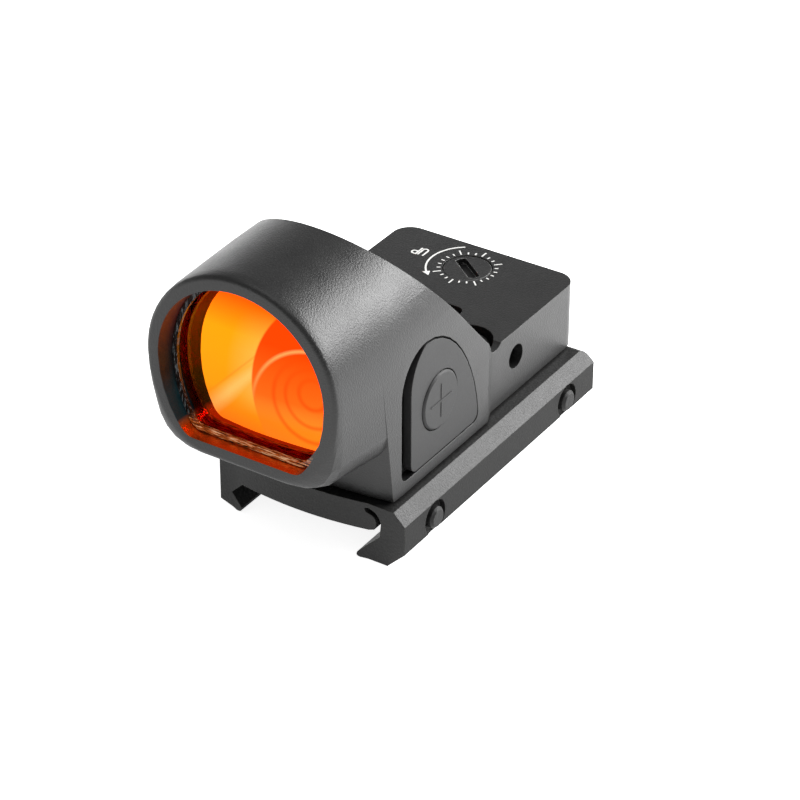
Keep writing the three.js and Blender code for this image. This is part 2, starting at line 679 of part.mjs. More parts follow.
const elevationHeadZ = ELEVATION_FACE_Z - ELEVATION_HEAD;
const elevationSlot = toSolid(adjusterSlot(ELEVATION_FACE_Z).translate(0, ELEVATION_Y, 0));
add('elevation_screw', turned([
  [0, 6.5], [SHAFT_R, 6.5], [SHAFT_R, elevationHeadZ], [ELEVATION_R, elevationHeadZ],
  [ELEVATION_R, elevationHeadZ + 0.45], [ELEVATION_R - 0.6, elevationHeadZ + 0.45],
  [ELEVATION_R - 0.6, elevationHeadZ + 1.05], [ELEVATION_R, elevationHeadZ + 1.05],
  [ELEVATION_R, ELEVATION_FACE_Z - 0.1], [ELEVATION_R - 0.1, ELEVATION_FACE_Z],
  [0, ELEVATION_FACE_Z],
], 'z', 0, ELEVATION_Y, 30).subtract(elevationSlot), anodised);
add('elevation_o_ring',
  torus('z', 0, ELEVATION_Y, elevationHeadZ + 0.75, ELEVATION_R - 0.3, 0.24, 20), oRing);

const windageSlotGeometry = adjusterSlot(-WINDAGE_FACE_X);
windageSlotGeometry.rotateY(-Math.PI / 2);
windageSlotGeometry.translate(0, WINDAGE_Y, WINDAGE_Z);
const windageHeadX = WINDAGE_FACE_X + WINDAGE_HEAD;
add('windage_screw', turned([
  [0, WINDAGE_FACE_X], [WINDAGE_R - 0.1, WINDAGE_FACE_X], [WINDAGE_R, WINDAGE_FACE_X + 0.1],
  [WINDAGE_R, windageHeadX - 1.2], [WINDAGE_R - 0.6, windageHeadX - 1.2],
  [WINDAGE_R - 0.6, windageHeadX - 0.6], [WINDAGE_R, windageHeadX - 0.6],
  [WINDAGE_R, windageHeadX], [SHAFT_R, windageHeadX], [SHAFT_R, 3.9], [0, 3.9],
], 'x', WINDAGE_Y, WINDAGE_Z, 28).subtract(toSolid(windageSlotGeometry)), anodised);
add('windage_o_ring',
  torus('x', WINDAGE_Y, WINDAGE_Z, windageHeadX - 0.9, WINDAGE_R - 0.3, 0.24, 20), oRing);

// Nut that climbs the elevation screw; its tongue reaches into the emitter block's fork.
add('elevation_nut', box(-NUT.half, NUT.half, NUT.y0, NUT.y1, NUT.low, NUT.high)
  .add(box(-TONGUE.half, TONGUE.half, TONGUE.y0, NUT.y0 + 0.1, TONGUE.low, TONGUE.high))
  .subtract(discZ(0, ELEVATION_Y, SHAFT_R + RUNNING, 0, FAR, 24)), gold);
add('elevation_spring', coilZ(0, ELEVATION_Y, SPRING.radius, SPRING.wire, SPRING.foot,
  NUT.low - CLEAR, SPRING.turns), steel);

// Slider that the windage screw drives sideways, with two posts for the emitter block.
let slider = box(-SLIDER.half, SLIDER.half, SLIDER.y0, SLIDER.y1, SLIDER.low, SLIDER.high)
  .add(box(-SLIDER_ARM.half, SLIDER_ARM.half, SLIDER_ARM.y0, SLIDER.y0 + 0.4,
    SLIDER.low, SLIDER_ARM.high))
  .subtract(discX(WINDAGE_Y, WINDAGE_Z, SHAFT_R + RUNNING, -FAR, FAR, 24));
let emitterBlock = box(-BLOCK.half, BLOCK.half, BLOCK.y0, BLOCK.y1, BLOCK.low, BLOCK.high);
for (const low of [FORK.low, FORK.high - FORK.tine]) {
  emitterBlock = emitterBlock
    .add(box(-BLOCK.half, BLOCK.half, BLOCK.y1 - 0.05, FORK.y1, low, low + FORK.tine));
}
for (const side of [1, -1]) {
  slider = slider
    .add(discZ(side * POST.x, POST.y, POST.r, SLIDER_ARM.high - 0.1, POST.top, 16));
  emitterBlock = emitterBlock
    .subtract(discZ(side * POST.x, POST.y, POST.r + RUNNING, 0, POST.bore, 16));
}
add('windage_slider', slider, gold);
add('emitter_block', emitterBlock, steel);
add('emitter_led', box(-LED.half, LED.half, LED.y0, LED.y1,
  EMITTER_Z - LED.tall / 2, EMITTER_Z + LED.tall / 2), gold);
add('emitter_window', box(-2.6, 2.6, RECESS_REAR_Y + 0.1, RECESS_REAR_Y + 0.6, 10.5, 13.1),
  glass);

// ---------------------------------------------------------------- electronics

const boardTop = BOARD.z + BOARD.thick;
add('circuit_board',
  box(-BOARD.half, BOARD.half, BOARD.y0, BOARD.y1, BOARD.z, boardTop)
    .subtract(discZ(0, ELEVATION_Y, 0.5, 0, FAR, 16)), boardGreen);
add('control_chip', box(5.6, 9.6, 12.5, 16.5, boardTop + 0.1, boardTop + 1.0), bead);
add('bottom_plate', prismZ(
  roundedPlan(-PLATE.half, PLATE.half, PLATE.y0, PLATE.y1, 1.2), BASE_Z + 0.02,
  BASE_Z + PLATE.thick), anodised);

// ---------------------------------------------------------------- deck fasteners

function hexagon(across) {
  const shape = new THREE.Shape();
  for (let i = 0; i < 6; i += 1) {
    const angle = i * Math.PI / 3;
    const radius = across / Math.sqrt(3);
    shape[i === 0 ? 'moveTo' : 'lineTo'](radius * Math.cos(angle), radius * Math.sin(angle));
  }
  return shape;
}

function hexBlock(across, from, to) {
  return new THREE.ExtrudeGeometry(hexagon(across), { depth: to - from, bevelEnabled: false })
    .translate(0, 0, from);
}

for (const [side, place] of [[1, 'left'], [-1, 'right']]) {
  const { x, y, head, shank, floor } = DECK_SCREW;
  const socket = toSolid(hexBlock(2.5, floor + 0.8, FAR).translate(side * x, y, 0));
  add(`deck_screw_${place}`, turned([
    [0, 0.9], [shank - 0.3, 0.9], [shank, 1.2], [shank, floor + CLEAR], [head, floor + CLEAR],
    [head, floor + 1.75], [head - 0.3, floor + 2.05], [0, floor + 2.05],
  ], 'z', side * x, y, 24).subtract(socket), steel);
}

const sideSocket = hexBlock(1.4, 0, 20).rotateY(Math.PI / 2)
  .translate(11.6, SIDE_HOLE.y, SIDE_HOLE.z);
add('side_set_screw', discX(SIDE_HOLE.y, SIDE_HOLE.z, SIDE_HOLE.r - CLEAR, 8.4, 12.6, 28, 0.2)
  .subtract(toSolid(sideSocket)), steel);

// ---------------------------------------------------------------- rail clamp

// Section in (X, Z): fixed V jaw at -X, flexing jaw with a hooked toe at +X, and the
// relief slit that lets the flexing jaw close on the rail.
function clampSection() {
  const apexX = RAIL_X - RAIL_HALF - CLEAR;
  const toeX = RAIL_X + RAIL_HALF + CLEAR;
  const shape = new THREE.Shape();
  shape.moveTo(JAW_X, MOUNT_TOP_Z);
  shape.lineTo(JAW_X, JAW_LOW_Z + 0.9);
  shape.lineTo(JAW_X + 2.6, JAW_LOW_Z);
  shape.quadraticCurveTo(apexX + 1.8, JAW_LOW_Z, apexX + 1.75, JAW_APEX_Z - 1.75);
  shape.lineTo(apexX, JAW_APEX_Z);
  shape.lineTo(apexX + 2.0, 0);
  shape.lineTo(toeX - CLEAR, 0);
  shape.lineTo(12.9, 0.35);
  shape.quadraticCurveTo(13.5, 1.8, 12.6, 2.35);
  shape.lineTo(11.7, 2.6);
  shape.quadraticCurveTo(11.1, 3.3, 11.9, 3.35);
  shape.quadraticCurveTo(13.6, 3.2, 13.9, 1.5);
  shape.lineTo(toeX + 1.6, -0.5);
  shape.lineTo(10.5, -3.7);
  shape.quadraticCurveTo(10.1, -4.4, 10.9, JAW_LOW_Z);
  shape.lineTo(14.9, JAW_LOW_Z);
  shape.lineTo(BAR_X, -1.9);
  shape.lineTo(BAR_X, 2.3);
  shape.lineTo(BAR_X - 1.7, MOUNT_TOP_Z);
  return shape;
}

// Plan of the clamp: square rear, front bowed out between the jaws.
function clampPlan() {
  const shape = new THREE.Shape();
  const bowHalf = 10.5;
  shape.moveTo(-FAR, MOUNT_HALF_LENGTH);
  shape.lineTo(-FAR, -MOUNT_HALF_LENGTH);
  shape.lineTo(RAIL_X - bowHalf, -MOUNT_HALF_LENGTH);
  shape.quadraticCurveTo(RAIL_X, -MOUNT_HALF_LENGTH - 2 * MOUNT_BULGE,
    RAIL_X + bowHalf, -MOUNT_HALF_LENGTH);
  shape.lineTo(FAR, -MOUNT_HALF_LENGTH);
  shape.lineTo(FAR, MOUNT_HALF_LENGTH);
  return shape;
}

function clamp() {
  const length = MOUNT_HALF_LENGTH + MOUNT_BULGE + 1;
  let solid = prismY(clampSection(), -length, length, 6).intersect(prismZ(clampPlan(), -FAR, FAR));
  for (const side of [1, -1]) {
    const y = side * BOLT_Y;
    solid = solid.subtract(discX(y, BOLT_Z, BOLT_R + CLEAR, -FAR, FAR, 28))
      .subtract(discX(y, BOLT_Z, BOLT_POCKET.r, BAR_X - BOLT_POCKET.depth, FAR, 32));
    solid = solid.subtract(
      discZ(side * DECK_SCREW.x, DECK_SCREW.y, DECK_SCREW.shank + CLEAR, 0.5, FAR, 28));
    solid = solid.add(discZ(side * BOSS.x, BOSS.y, BOSS.r, 3, BASE_Z + 1.4, 24, 0.2));
  }
  const cornerY = MOUNT_HALF_LENGTH - REAR_CORNER;
  const cornerZ = MOUNT_TOP_Z - REAR_CORNER;
  const rearCorner = new THREE.Shape();
  rearCorner.moveTo(cornerY, FAR);
  rearCorner.lineTo(cornerY, MOUNT_TOP_Z);
  rearCorner.quadraticCurveTo(MOUNT_HALF_LENGTH, MOUNT_TOP_Z, MOUNT_HALF_LENGTH, cornerZ);
  rearCorner.lineTo(FAR, cornerZ);
  rearCorner.lineTo(FAR, FAR);
  return solid.subtract(prismX(rearCorner, -FAR, FAR, 6));
}

add('rail_clamp', clamp(), anodisedMount);

for (const [side, place] of [[-1, 'front'], [1, 'rear']]) {
  const y = side * BOLT_Y;
  const washerX = JAW_X - CLEAR;
  const headX = washerX - WASHER.thick - CLEAR;
  const socket = hexBlock(2.5, -1, 1.3).rotateY(Math.PI / 2).translate(headX - BOLT_HEAD_THICK, y, BOLT_Z);
  const head = toSolid(hexBlock(2 * BOLT_HEAD_R * 0.92, -BOLT_HEAD_THICK, 0).rotateY(Math.PI / 2)
    .translate(headX, y, BOLT_Z));
  const shank = turned([
    [0, headX - 0.5], [BOLT_R, headX - 0.5], [BOLT_R, BOLT_TIP_X - 0.35],
    [BOLT_R - 0.35, BOLT_TIP_X], [0, BOLT_TIP_X],
  ], 'x', y, BOLT_Z, 28);
  add(`cross_bolt_${place}`, head.add(shank).subtract(toSolid(socket)), steel);
  add(`bolt_washer_${place}`, discX(y, BOLT_Z, WASHER.r, washerX - WASHER.thick, washerX, 32)
    .subtract(discX(y, BOLT_Z, BOLT_R + CLEAR, -FAR, FAR, 28)), steel);
}

export default group;
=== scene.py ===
"""Looks of the open reflex red dot finder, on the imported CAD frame, in metres.

The lens faces -Y, the adjustment deck is at +Y and the rail clamp is below.
"""

import math

import bmesh
import bpy
from mathutils import Matrix, Vector


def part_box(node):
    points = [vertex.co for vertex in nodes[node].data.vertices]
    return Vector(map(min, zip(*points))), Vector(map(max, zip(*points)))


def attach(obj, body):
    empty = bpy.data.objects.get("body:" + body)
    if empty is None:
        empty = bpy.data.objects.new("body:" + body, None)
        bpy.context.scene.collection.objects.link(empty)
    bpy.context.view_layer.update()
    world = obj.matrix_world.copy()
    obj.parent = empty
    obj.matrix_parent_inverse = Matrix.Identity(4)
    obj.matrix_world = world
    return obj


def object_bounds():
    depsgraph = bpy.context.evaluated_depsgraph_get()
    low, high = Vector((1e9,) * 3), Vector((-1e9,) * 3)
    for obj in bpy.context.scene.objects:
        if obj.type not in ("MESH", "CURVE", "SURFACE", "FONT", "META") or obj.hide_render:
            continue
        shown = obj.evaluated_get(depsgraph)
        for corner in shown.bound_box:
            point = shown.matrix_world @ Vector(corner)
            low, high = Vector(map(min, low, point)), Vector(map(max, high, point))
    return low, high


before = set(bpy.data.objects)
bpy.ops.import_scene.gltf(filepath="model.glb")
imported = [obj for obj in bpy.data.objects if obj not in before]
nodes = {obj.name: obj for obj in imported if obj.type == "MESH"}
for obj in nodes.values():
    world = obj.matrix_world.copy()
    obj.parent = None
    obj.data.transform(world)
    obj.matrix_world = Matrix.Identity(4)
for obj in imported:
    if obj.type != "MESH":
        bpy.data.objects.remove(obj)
cad_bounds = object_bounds()

MM = 0.001
X, Y, Z = Vector((1, 0, 0)), Vector((0, 1, 0)), Vector((0, 0, 1))

# ---------------------------------------------------------------- smooth, crisp-edged nodes

SHARP_ANGLE = math.radians(32)
WELD = 0.001 * MM


def smoothing_group():
    """Welds a node's triangles and shades them smooth, except across sharp edges."""
    tree = bpy.data.node_groups.new("welded_smooth", "GeometryNodeTree")
    for in_out in ("INPUT", "OUTPUT"):
        tree.interface.new_socket(name="Geometry", in_out=in_out,
                                  socket_type="NodeSocketGeometry")
    entry = tree.nodes.new("NodeGroupInput")
    leave = tree.nodes.new("NodeGroupOutput")
    bare = tree.nodes.new("GeometryNodeRemoveAttribute")
    bare.inputs["Name"].default_value = "custom_normal"
    weld = tree.nodes.new("GeometryNodeMergeByDistance")
    weld.inputs["Distance"].default_value = WELD
    faces = tree.nodes.new("GeometryNodeSetShadeSmooth")
    faces.domain = "FACE"
    edges = tree.nodes.new("GeometryNodeSetShadeSmooth")
    edges.domain = "EDGE"
    edges.inputs["Shade Smooth"].default_value = False
    angle = tree.nodes.new("GeometryNodeInputMeshEdgeAngle")
    sharp = tree.nodes.new("FunctionNodeCompare")
    sharp.data_type = "FLOAT"
    sharp.operation = "GREATER_THAN"
    sharp.inputs[1].default_value = SHARP_ANGLE
    link = tree.links.new
    link(entry.outputs[0], bare.inputs["Geometry"])
    link(bare.outputs[0], weld.inputs["Geometry"])
    link(weld.outputs[0], faces.inputs["Geometry"])
    link(faces.outputs[0], edges.inputs["Geometry"])
    link(angle.outputs["Unsigned Angle"], sharp.inputs[0])
    link(sharp.outputs[0], edges.inputs["Selection"])
    link(edges.outputs[0], leave.inputs[0])
    return tree


smoothing = smoothing_group()
for part in nodes.values():
    modifier = part.modifiers.new("welded_smooth", "NODES")
    modifier.node_group = smoothing
    weighted = part.modifiers.new("weighted_normals", "WEIGHTED_NORMAL")
    weighted.keep_sharp = True

# ---------------------------------------------------------------- what the materials share


class Shader:
    """One procedural material around a Principled shader, in object coordinates."""

    def __init__(self, name, **sockets):
        self.material = bpy.data.materials.new(name)
        self.material.use_nodes = True
        self.tree = self.material.node_tree
        self.principled = self.tree.nodes["Principled BSDF"]
        for key, value in sockets.items():
            self.principled.inputs[key.replace("_", " ")].default_value = value
        self.place = self.add("ShaderNodeTexCoord").outputs["Object"]

    def add(self, kind, links=(), **values):
        """A new node, with some sockets set to values and some linked to sources."""
        made = self.tree.nodes.new(kind)
        for key, value in values.items():
            made.inputs[key.replace("_", " ")].default_value = value
        for key, source in dict(links).items():
            self.tree.links.new(source, made.inputs[key])
        return made

    def split(self, vector):
        """The outputs X, Y and Z of a vector."""
        return self.add("ShaderNodeSeparateXYZ", {"Vector": vector}).outputs

    def normal(self):
        """The surface's own normal, before any bump."""
        return self.add("ShaderNodeNewGeometry").outputs["Normal"]

    def noise(self, scale, detail=4.0, rough=0.5, place=None):
        """Cloudy values around a half, in cells of about 1 / scale metres."""
        made = self.add("ShaderNodeTexNoise", {"Vector": self.place if place is None else place},
                        Scale=scale, Detail=detail, Roughness=rough)
        return made.outputs["Fac"]

    def ramp(self, source, low, high, to_low=0.0, to_high=1.0):
        """Runs from to_low to to_high as the source runs from low to high, and stops there."""
        made = self.add("ShaderNodeMapRange", {"Value": source}, From_Min=low, From_Max=high,
                        To_Min=to_low, To_Max=to_high)
        return made.outputs["Result"]

    def calc(self, operation, *values):
        """A math node on sources or numbers."""
        made = self.tree.nodes.new("ShaderNodeMath")
        made.operation = operation
        for socket, value in zip(made.inputs, values):
            if isinstance(value, (int, float)):
                socket.default_value = value
            else:
                self.tree.links.new(value, socket)
        return made.outputs[0]

    def times(self, product, *factors):
        """The product of sources or numbers."""
        for factor in factors:
            product = self.calc("MULTIPLY", product, factor)
        return product

    def length(self, a, b):
        """The length of the vector (a, b)."""
        return self.calc("SQRT", self.calc("ADD", self.times(a, a), self.times(b, b)))

    def mix(self, factor, a, b):
        """The colour a where the factor is 0, and b where it is 1."""
        made = self.tree.nodes.new("ShaderNodeMix")
        made.data_type = "RGBA"
        self.tree.links.new(factor, made.inputs["Factor"])
        for socket, value in ((made.inputs[6], a), (made.inputs[7], b)):
            if isinstance(value, tuple):
                socket.default_value = (*value, 1.0)
            else:
                self.tree.links.new(value, socket)
        return made.outputs[2]

    def bump(self, height, strength, distance, normal=None):
        """A normal tilted by a height, on top of another normal if one is given."""
        links = {"Height": height}
        if normal is not None:
            links["Normal"] = normal
        return self.add("ShaderNodeBump", links, Strength=strength,
                        Distance=distance).outputs["Normal"]

    def source(self, key):
        """What already feeds a socket of the Principled shader."""
        return self.principled.inputs[key].links[0].from_socket

    def set(self, **sources):
        """Feeds sockets of the Principled shader."""
        for key, source in sources.items():
            self.tree.links.new(source, self.principled.inputs[key.replace("_", " ")])


# Nearly all of a noise's values lie in this range.
NOISE_RANGE = (0.3, 0.7)
# A finish is mottled by its fine grain, which has this share, and by larger blotches.
GRAIN_SHARE = 0.55
BLOTCH_SCALE = 260.0
MOTTLE_RANGE = (0.35, 0.65)
GRAIN_STRENGTH = 0.8
# Wear begins where rounding turns the normal by the first cosine, and is full at the second.
WEAR_COSINES = (0.97, 0.8)
# It is broken up by a noise of this scale, down to a quarter where the noise is low.
WEAR_SCALE = 2200.0
WEAR_BREAKS = (0.42, 0.62, 0.25, 1.0)


def worn_edges(shader, rounded, wear):
    """A mask over the edges, where the rounded normal differs from the surface's own."""
    turn = shader.add("ShaderNodeVectorMath", {0: rounded, 1: shader.normal()})
    turn.operation = "DOT_PRODUCT"
    worn = shader.ramp(turn.outputs["Value"], *WEAR_COSINES, 0.0, wear)
    broken = shader.ramp(shader.noise(WEAR_SCALE, detail=3.0, rough=0.7), *WEAR_BREAKS)
    return shader.times(worn, broken)


def finish(name, dark, light, roughness, metallic=0.0, grain=4300.0, depth=0.048, edge=0.14,
           wear=0.0, wear_colour=None, ior=1.43):
    """A grained surface mottled from dark to light, with rounded and worn edges.

    The grain's depth and the edge's radius are in mm.
    """
    shader = Shader(name, Metallic=metallic, IOR=ior)
    fine = shader.noise(grain, detail=2.0)
    blotches = shader.noise(BLOTCH_SCALE, rough=0.6)
    mottle = shader.calc("ADD", shader.times(fine, GRAIN_SHARE),
                         shader.times(blotches, 1 - GRAIN_SHARE))
    colour = shader.mix(shader.ramp(mottle, *MOTTLE_RANGE), dark, light)
    rounded = shader.add("ShaderNodeBevel", Radius=edge * MM).outputs["Normal"]
    if wear > 0.0:
        colour = shader.mix(worn_edges(shader, rounded, wear), colour, wear_colour)
    shader.set(Base_Color=colour, Roughness=shader.ramp(mottle, *NOISE_RANGE, *roughness),
               Normal=shader.bump(fine, GRAIN_STRENGTH, depth * MM, rounded))
    return shader


# ---------------------------------------------------------------- the body's bore, the clamp's sides

# The bore in front of the lens. HOOD_Z is the height of the optical axis.
HOOD_FRONT = cad_bounds[0][1]
HOOD_Z = 23.2 * MM
BORE_DEPTH = 8.5 * MM
BORE_R = 13.7 * MM
# Its walls and floor face the axis, so their |N.y| is under this. The front rim faces -Y.
BORE_FACING = 0.6
# Up from the axis: the bore's lowest place, and where one tint gives way to the next.
BORE_LOW = -11.6 * MM
BORE_TOP_FADE = (-1.0 * MM, 4.0 * MM)
BORE_LOW_FADE = (-3.0 * MM, -6.0 * MM)
# Up from the origin: the edge of the flat floor, and where the floor's tint takes over.
BORE_FLAT_Z = HOOD_Z - 9.2 * MM
BORE_FLOOR_FADE = (BORE_FLAT_Z + 0.3 * MM, BORE_FLAT_Z - 0.7 * MM)
# Painted reflections of the light from the lens's coating: dull red above, near black in the middle,
# teal low down, and orange on the floor, which is also made metallic.
BORE_TOP_REFLECTION_TINT = (0.06, 0.004, 0.001)
BORE_MIDDLE_REFLECTION_TINT = (0.004, 0.003, 0.003)
BORE_LOW_REFLECTION_TINT = (0.001, 0.026, 0.034)
BORE_FLOOR_REFLECTION_TINT = (0.85, 0.17, 0.012)
BORE_FLOOR_METALLIC = 0.9
# Times the roughness of the rest of the body.
BORE_WALL_ROUGHNESS = 1.4
BORE_FLOOR_ROUGHNESS = 0.6


def paint_bore_reflections(shader):
    """Paints the light of the lens's coating onto the bore in front of the lens, as painted
    reflection.

    The painted reflection is dull red above, teal low down, and glossy orange on the flat floor.
    """
    place = shader.split(shader.place)
    height = shader.calc("SUBTRACT", place["Z"], HOOD_Z)
    near_axis = shader.calc("LESS_THAN", shader.length(place["X"], height), BORE_R)
    above = shader.calc("GREATER_THAN", height, BORE_LOW)
    in_front = shader.calc("LESS_THAN", place["Y"], HOOD_FRONT + BORE_DEPTH)
    lengthwise = shader.calc("ABSOLUTE", shader.split(shader.normal())["Y"])
    bore = shader.times(near_axis, above, in_front,
                        shader.calc("LESS_THAN", lengthwise, BORE_FACING))
    low = shader.ramp(place["Z"], *BORE_FLOOR_FADE)
    bore_floor = shader.times(bore, low)

    # Painted reflection of the coating's light on the bore's walls and floor.
    painted_reflection = shader.mix(shader.ramp(height, *BORE_TOP_FADE), BORE_MIDDLE_REFLECTION_TINT, BORE_TOP_REFLECTION_TINT)
    painted_reflection = shader.mix(shader.ramp(height, *BORE_LOW_FADE), painted_reflection, BORE_LOW_REFLECTION_TINT)
    colour = shader.mix(bore, shader.source("Base Color"), painted_reflection)
    rough = shader.source("Roughness")
    bore_rough = shader.times(rough, shader.ramp(low, 0.0, 1.0, BORE_WALL_ROUGHNESS,
                                                 BORE_FLOOR_ROUGHNESS))
    change = shader.times(bore, shader.calc("SUBTRACT", bore_rough, rough))
    shader.set(Roughness=shader.calc("ADD", rough, change),
               Base_Color=shader.mix(bore_floor, colour, BORE_FLOOR_REFLECTION_TINT),
               Metallic=shader.times(bore_floor, BORE_FLOOR_METALLIC))


# Faces whose |N.x| passes the first of these get rougher, by SIDE_ROUGHER at the second.
SIDE_FACING = (0.9, 0.99)
SIDE_ROUGHER = 0.35


def roughen_sides(shader):
    """Makes the faces square to X coarser, so they stay darker than the chamfer above."""
    sideways = shader.calc("ABSOLUTE", shader.split(shader.normal())["X"])
    more = shader.ramp(sideways, *SIDE_FACING, 0.0, SIDE_ROUGHER)
    shader.set(Roughness=shader.calc("ADD", shader.source("Roughness"), more))


# ---------------------------------------------------------------- opaque materials

anodised_body = finish("anodised_body", (0.006, 0.0061, 0.0063), (0.012, 0.012, 0.0118),
                       roughness=(0.33, 0.45), wear=0.5, wear_colour=(0.11, 0.11, 0.105))
paint_bore_reflections(anodised_body)
anodised_mount = finish("anodised_mount", (0.006, 0.006, 0.006), (0.014, 0.014, 0.0135),
                        roughness=(0.38, 0.5), grain=3600.0, depth=0.07, wear=0.6,
                        wear_colour=(0.13, 0.13, 0.125), ior=1.34)
roughen_sides(anodised_mount)
anodised_dial = finish("anodised_dial", (0.007, 0.007, 0.0072), (0.013, 0.013, 0.0128),
                       roughness=(0.33, 0.45), edge=0.16, wear=1.0,
                       wear_colour=(0.5, 0.5, 0.49))
dark_steel = finish("dark_steel", (0.006, 0.006, 0.006), (0.014, 0.014, 0.014),
                    roughness=(0.5, 0.68), grain=3200.0, depth=0.06, edge=0.16, wear=0.9,
                    wear_colour=(0.16, 0.16, 0.155), ior=1.33)
keypad_rubber = finish("keypad_rubber", (0.010, 0.0101, 0.0103), (0.017, 0.017, 0.0172),
                       roughness=(0.52, 0.64), grain=3400.0, depth=0.012, edge=0.2)
seal_rubber = finish("seal_rubber", (0.010, 0.010, 0.010), (0.018, 0.018, 0.018),
                     roughness=(0.4, 0.6), grain=9000.0, depth=0.004, edge=0.05)
bright_steel = finish("bright_steel", (0.52, 0.52, 0.52), (0.68, 0.68, 0.67),
                      roughness=(0.2, 0.36), metallic=1.0, grain=9000.0, depth=0.003, edge=0.1)
gold_brass = finish("gold_brass", (0.62, 0.42, 0.13), (0.78, 0.55, 0.2),
                    roughness=(0.22, 0.38), metallic=1.0, grain=9000.0, depth=0.003, edge=0.1)
board_laminate = finish("board_laminate", (0.006, 0.05, 0.02), (0.012, 0.085, 0.035),
                        roughness=(0.3, 0.45), grain=1400.0, depth=0.004, edge=0.05)
chip_plastic = finish("chip_plastic", (0.008, 0.008, 0.008), (0.016, 0.016, 0.016),
                      roughness=(0.4, 0.55), grain=12000.0, depth=0.004, edge=0.08)
white_ink = finish("white_ink", (0.62, 0.62, 0.6), (0.8, 0.8, 0.78),
                   roughness=(0.45, 0.6), grain=7000.0, depth=0.004, edge=0.01)

# ---------------------------------------------------------------- adhesive round the lens

# The adhesive's own near-black, then painted glints along its run: amber and cream over the bore's
# floor, a grey sheen up its sides.
BEAD_DARK = (0.008, 0.004, 0.003)
BEAD_AMBER_GLINT = (0.62, 0.13, 0.015)
BEAD_CREAM_GLINT = (0.95, 0.62, 0.34)
BEAD_SIDE_GLINT = (0.17, 0.19, 0.20)
# The painted glint streaks' noise, and how much of its scale is left along a streak.
STREAK_SCALE = 5200.0
BEAD_STRETCH = 0.12
# Noise values between which one painted glint colour gives way to the next, the sheen by 0.8 at
# most.
AMBER_RANGE = (0.40, 0.52)
CREAM_RANGE = (0.52, 0.62)
SHEEN_RANGE = (0.52, 0.64, 0.0, 0.8)
BEAD_FLOOR_FADE = (BORE_FLAT_Z + 0.6 * MM, BORE_FLAT_Z - 0.4 * MM)
BEAD_ROUGHNESS = (0.05, 0.22)
# The surface is uneven, as if set in drops.
DROP_SCALE = 3000.0
DROP_STRENGTH = 0.5
DROP_DEPTH = 0.06 * MM


def bond_adhesive():
    """Glossy cured adhesive with painted glints streaked along its run, amber where it lies over the
    bore's floor.
    """
    shader = Shader("adhesive", IOR=1.5)
    place = shader.split(shader.place)

    def streaks(axis):
        """Noise stretched along one axis."""
        sources = {key: place[key] for key in "XYZ"}
        sources[axis] = shader.times(sources[axis], BEAD_STRETCH)
        stretched = shader.add("ShaderNodeCombineXYZ", sources).outputs[0]
        return shader.noise(STREAK_SCALE, detail=3.0, rough=0.6, place=stretched)

    along, upward = streaks("X"), streaks("Z")
    # Painted glints: amber and cream low down, a grey sheen on the sides.
    low = shader.mix(shader.ramp(along, *AMBER_RANGE), BEAD_DARK, BEAD_AMBER_GLINT)
    low = shader.mix(shader.ramp(along, *CREAM_RANGE), low, BEAD_CREAM_GLINT)
    side = shader.mix(shader.ramp(upward, *SHEEN_RANGE), BEAD_DARK, BEAD_SIDE_GLINT)
    drops = shader.noise(DROP_SCALE, detail=3.0, rough=0.6)
    shader.set(Base_Color=shader.mix(shader.ramp(place["Z"], *BEAD_FLOOR_FADE), side, low),
               Roughness=shader.ramp(drops, *NOISE_RANGE, *BEAD_ROUGHNESS),
               Normal=shader.bump(drops, DROP_STRENGTH, DROP_DEPTH))
    return shader


# ---------------------------------------------------------------- glass

# Left and right are outside and inside the painted edge of the tunnel seen through the lens, the
# right a painted view of it. The haze, streak and rim are pale painted light.
COATING_AND_PAINTED_LIGHT = {
    "left": (1.0, 0.26, 0.002), "left_top": (1.0, 0.088, 0.001), "left_low": (1.0, 0.15, 0.003),
    "pale": (0.97, 0.46, 0.13), "right_top": (1.0, 0.042, 0.0005),
    "right_low": (1.0, 0.16, 0.010),
}
COATING_THROUGH = 0.12
COATING_ROUGHNESS = (0.0, 0.03)
CLEAR_ROUGHNESS = (0.01, 0.06)
CLEAR_TINTS = ((0.95, 0.97, 0.96), (0.99, 0.99, 0.98))
# Both sorts of glass have a faint smear, which also bends the coated one's reflections.
COATED_SMEAR_SCALE = 600.0
CLEAR_SMEAR_SCALE = 700.0
SMEAR_STRENGTH = 0.1
SMEAR_DEPTH = 0.001 * MM
# Places on the lens are in mm from the optical axis. These are where one tint gives way to
# the next, going up or down.
LEFT_TOP_FADE = (4.0, 8.5)
LEFT_LOW_FADE = (-4.0, -8.5)
RIGHT_LOW_FADE = (4.0, -9.0)
# Circles of the painted view through the lens: across, up, radius, half width.
TUNNEL_EDGE = (12.9, -1.0, 13.5, 0.14)
CAP_RIM = (8.5, -4.3, 8.9, 0.38)
CAP_RINGS = ((8.3, -1.0, 2.0, 0.5), (8.3, -1.6, 3.9, 0.45), (8.3, -2.0, 5.6, 0.5))
# From one height to another, the strength of the painted tunnel, the cap's painted rim glint and its
# rings' painted shade.
TUNNEL_FADE = (-6.5, -3.0, 0.5, 1.0)
RIM_FADE = (-6.0, 3.0, 0.05, 0.55)
RING_FADE = (3.0, -1.0, 0.2, 1.0)
RING_STRENGTH = 0.6
# A pale painted haze of light lies along the outside of the tunnel's edge, at middle height.
HAZE_WIDTH = 4.0
HAZE_STRENGTH = 0.3
HAZE_TOP_FADE = (8.0, 2.0)
HAZE_LOW_FADE = (-6.5, -3.0)
# A pale painted streak of light slopes up to the tunnel's edge: a point on it, its angle and its
# half width.
STREAK = (-3.0, -3.2, 46.0, 1.5)
STREAK_CORE = 0.2
STREAK_STRENGTH = 0.65
# A painted orange line runs along its upper side, and both are fainter to the left.
LINE_HALF = 0.22
LINE_STRENGTH = 0.45
STREAK_REACH = (-8.0, -4.0, 0.3, 1.0)


